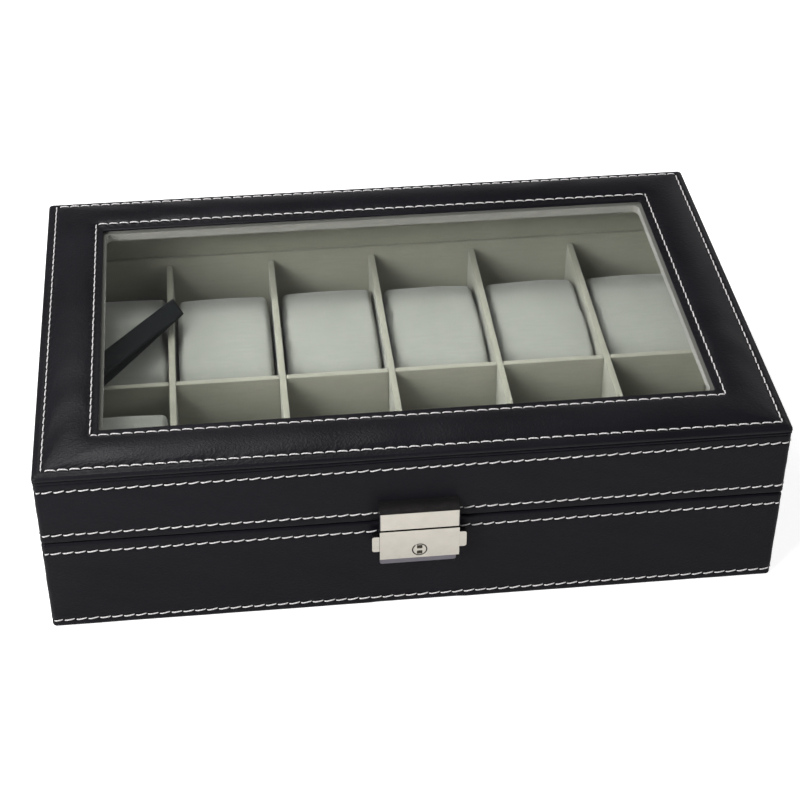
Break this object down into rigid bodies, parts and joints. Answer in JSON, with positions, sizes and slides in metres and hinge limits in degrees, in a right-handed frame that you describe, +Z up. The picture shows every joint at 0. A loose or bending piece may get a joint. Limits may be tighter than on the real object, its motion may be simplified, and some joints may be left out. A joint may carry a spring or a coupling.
{
  "type": "watch display case",
  "caption": "Flat leather-covered watch display case: divided tray with velvet pillows, hinged lid with padded stitched top and glass window, sprung push-tab lock and a ribbon lid stay.",
  "frame": {"origin": "middle of the underside, on the surface the case rests on", "axes": "+X to the right seen from the lock, +Y to the hinges, +Z up"},
  "size_m": [0.3, 0.2093, 0.0813],
  "materials": {
    "black_leather": "black, fine grain, soft sheen",
    "pale_velvet": "short pile, pale grey-green",
    "grey_lining": "matt suede-like cloth, olive grey",
    "board": "fibreboard, uncoated",
    "card": "grey card, uncoated",
    "foam": "soft open padding",
    "glass": "clear, polished",
    "satin_nickel": "satin nickel plate",
    "steel": "plain bright",
    "black_ribbon": "black grosgrain, fine ribs",
    "underside_felt": "black pressed felt"
  },
  "bodies": {
    "base": {"base_side_wrap": "black_leather", "underside_sheet": "underside_felt", "bottom_board": "board", "base_front_wall": "board", "base_back_wall": "board", "base_left_wall": "board", "base_right_wall": "board", "floor_lining": "grey_lining", "front_liner": "grey_lining", "back_liner": "grey_lining", "left_liner": "grey_lining", "right_liner": "grey_lining", "long_divider": "grey_lining", "cross_divider_1": "grey_lining", "cross_divider_2": "grey_lining", "cross_divider_3": "grey_lining", "cross_divider_4": "grey_lining", "cross_divider_5": "grey_lining", "lock_case": "satin_nickel", "lock_back_plate": "satin_nickel", "lock_tacks": "satin_nickel", "hinge_base_leaves": "satin_nickel", "hinge_pins": "steel", "hinge_base_screws": "steel", "tab_spring": "steel", "ribbon_stay": "black_ribbon"},
    "lid": {"lid_cover": "black_leather", "lid_padding": "foam", "panel_card": "card", "window_glass": "glass", "window_board": "board", "window_lining": "grey_lining", "lid_side_wrap": "black_leather", "lid_front_wall": "board", "lid_back_wall": "board", "lid_left_wall": "board", "lid_right_wall": "board", "lid_wall_lining": "grey_lining", "strike_case": "satin_nickel", "strike_back_plate": "satin_nickel", "catch_prongs": "satin_nickel", "strike_tacks": "satin_nickel", "hinge_lid_leaves": "satin_nickel", "hinge_lid_screws": "steel"},
    "left_tab": {"left_push_tab": "satin_nickel"},
    "right_tab": {"right_push_tab": "satin_nickel"},
    "key": {"key_plug": "satin_nickel", "key_cam": "steel"},
    "back_pillow_1_body": {"back_pillow_1": "pale_velvet"},
    "back_pillow_2_body": {"back_pillow_2": "pale_velvet"},
    "back_pillow_3_body": {"back_pillow_3": "pale_velvet"},
    "back_pillow_4_body": {"back_pillow_4": "pale_velvet"},
    "back_pillow_5_body": {"back_pillow_5": "pale_velvet"},
    "back_pillow_6_body": {"back_pillow_6": "pale_velvet"},
    "front_pillow_1_body": {"front_pillow_1": "pale_velvet"},
    "front_pillow_2_body": {"front_pillow_2": "pale_velvet"},
    "front_pillow_3_body": {"front_pillow_3": "pale_velvet"},
    "front_pillow_4_body": {"front_pillow_4": "pale_velvet"},
    "front_pillow_5_body": {"front_pillow_5": "pale_velvet"},
    "front_pillow_6_body": {"front_pillow_6": "pale_velvet"}
  },
  "joints": [
    {"name": "lid_hinge", "type": "hinge", "parent": "base", "child": "lid", "pos_m": [0, 0.1017, 0.0453], "axis": [-1, 0, 0], "range_deg": [0, 95], "deforming": ["ribbon_stay"]},
    {"name": "left_tab_push", "type": "slide", "parent": "base", "child": "left_tab", "axis": [1, 0, 0], "range_m": [0, 0.0024], "stiffness_N_per_m": 400, "springref_m": -0.001, "deforming": ["tab_spring"]},
    {"name": "right_tab_push", "type": "slide", "parent": "base", "child": "right_tab", "axis": [-1, 0, 0], "range_m": [0, 0.0024], "stiffness_N_per_m": 400, "springref_m": -0.001, "deforming": ["tab_spring"]},
    {"name": "key_turn", "type": "hinge", "parent": "base", "child": "key", "pos_m": [0, -0.1056, 0.034], "axis": [0, 1, 0], "range_deg": [0, 90]},
    {"name": "back_pillow_1_lift", "type": "slide", "parent": "base", "child": "back_pillow_1_body", "axis": [0, 0, 1], "range_m": [0, 0.024]},
    {"name": "back_pillow_2_lift", "type": "slide", "parent": "base", "child": "back_pillow_2_body", "axis": [0, 0, 1], "range_m": [0, 0.024]},
    {"name": "back_pillow_3_lift", "type": "slide", "parent": "base", "child": "back_pillow_3_body", "axis": [0, 0, 1], "range_m": [0, 0.024]},
    {"name": "back_pillow_4_lift", "type": "slide", "parent": "base", "child": "back_pillow_4_body", "axis": [0, 0, 1], "range_m": [0, 0.024]},
    {"name": "back_pillow_5_lift", "type": "slide", "parent": "base", "child": "back_pillow_5_body", "axis": [0, 0, 1], "range_m": [0, 0.024]},
    {"name": "back_pillow_6_lift", "type": "slide", "parent": "base", "child": "back_pillow_6_body", "axis": [0, 0, 1], "range_m": [0, 0.024]},
    {"name": "front_pillow_1_lift", "type": "slide", "parent": "base", "child": "front_pillow_1_body", "axis": [0, 0, 1], "range_m": [0, 0.024]},
    {"name": "front_pillow_2_lift", "type": "slide", "parent": "base", "child": "front_pillow_2_body", "axis": [0, 0, 1], "range_m": [0, 0.024]},
    {"name": "front_pillow_3_lift", "type": "slide", "parent": "base", "child": "front_pillow_3_body", "axis": [0, 0, 1], "range_m": [0, 0.024]},
    {"name": "front_pillow_4_lift", "type": "slide", "parent": "base", "child": "front_pillow_4_body", "axis": [0, 0, 1], "range_m": [0, 0.024]},
    {"name": "front_pillow_5_lift", "type": "slide", "parent": "base", "child": "front_pillow_5_body", "axis": [0, 0, 1], "range_m": [0, 0.024]},
    {"name": "front_pillow_6_lift", "type": "slide", "parent": "base", "child": "front_pillow_6_body", "axis": [0, 0, 1], "range_m": [0, 0.024]}
  ]
}
